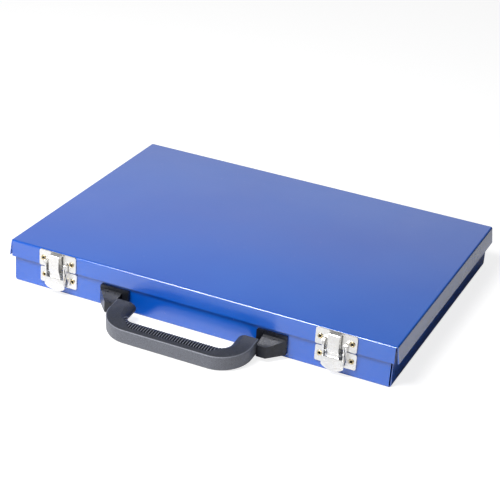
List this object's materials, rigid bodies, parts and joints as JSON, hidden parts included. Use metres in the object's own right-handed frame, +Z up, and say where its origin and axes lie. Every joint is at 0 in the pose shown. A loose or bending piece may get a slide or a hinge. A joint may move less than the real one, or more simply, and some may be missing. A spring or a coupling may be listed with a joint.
{
  "type": "drill bit case",
  "caption": "Flat folded sheet-steel case for loose drill bits, with rows of bins, a hinged lid, two draw latches at the front and a swinging carrying handle.",
  "frame": {"origin": "centre of the base tray's underside, on the table", "axes": "+X to the right seen from the front, -Y out of the front where the latches and handle are, +Z up"},
  "size_m": [0.344, 0.298, 0.037],
  "materials": {
    "blue_paint": "gloss blue enamel",
    "bin_steel": "gloss blue enamel, thinner inside",
    "nickel": "bright nickel plate",
    "brass": "bright rolled brass",
    "zinc_plate": "zinc plated",
    "steel": "plain drawn steel",
    "black_plastic": "fine grained",
    "foam": "soft closed-cell foam"
  },
  "bodies": {
    "base": {"base_tray": "blue_paint", "cross_rail": "blue_paint", "front_bin_plates": "bin_steel", "rear_bin_plates": "bin_steel", "left_latch_base_plate": "nickel", "right_latch_base_plate": "nickel", "latch_base_rivets": "brass", "left_lever_pins": "nickel", "right_lever_pins": "nickel", "left_handle_bracket": "black_plastic", "right_handle_bracket": "black_plastic", "bracket_screws": "steel", "handle_pins": "steel", "left_hinge_base_leaf": "zinc_plate", "right_hinge_base_leaf": "zinc_plate", "hinge_base_rivets": "zinc_plate", "left_hinge_pin": "steel", "right_hinge_pin": "steel"},
    "lid": {"lid_shell": "blue_paint", "lid_foam_pad": "foam", "left_catch_plate": "nickel", "right_catch_plate": "nickel", "catch_plate_rivets": "brass", "left_hinge_lid_leaf": "zinc_plate", "right_hinge_lid_leaf": "zinc_plate", "hinge_lid_rivets": "zinc_plate"},
    "handle": {"handle": "black_plastic"},
    "left_lever": {"left_latch_lever": "nickel", "left_claw_pin": "steel", "left_claw_springs": "steel"},
    "right_lever": {"right_latch_lever": "nickel", "right_claw_pin": "steel", "right_claw_springs": "steel"},
    "left_claw": {"left_latch_claw": "nickel"},
    "right_claw": {"right_latch_claw": "nickel"}
  },
  "joints": [
    {"name": "lid_hinge", "type": "hinge", "parent": "base", "child": "lid", "pos_m": [0, 0.12605, 0.0225], "axis": [-1, 0, 0], "range_deg": [0, 180]},
    {"name": "handle_swing", "type": "hinge", "parent": "base", "child": "handle", "pos_m": [-0.0015, -0.1339, 0.00973], "axis": [-1, 0, 0], "range_deg": [-84, 95]},
    {"name": "left_lever_pivot", "type": "hinge", "parent": "base", "child": "left_lever", "pos_m": [-0.1245, -0.1273, 0.028], "axis": [-1, 0, 0], "range_deg": [0, 98]},
    {"name": "left_claw_pivot", "type": "hinge", "parent": "left_lever", "child": "left_claw", "pos_m": [-0.1245, -0.1269, 0.0197], "axis": [-1, 0, 0], "range_deg": [-98, 0]},
    {"name": "right_lever_pivot", "type": "hinge", "parent": "base", "child": "right_lever", "pos_m": [0.1215, -0.1273, 0.028], "axis": [-1, 0, 0], "range_deg": [0, 98]},
    {"name": "right_claw_pivot", "type": "hinge", "parent": "right_lever", "child": "right_claw", "pos_m": [0.1215, -0.1269, 0.0197], "axis": [-1, 0, 0], "range_deg": [-98, 0]}
  ],
  "couplings": [
    {"joint": "left_claw_pivot", "follows": "left_lever_pivot", "ratio": -1},
    {"joint": "right_claw_pivot", "follows": "right_lever_pivot", "ratio": -1}
  ]
}
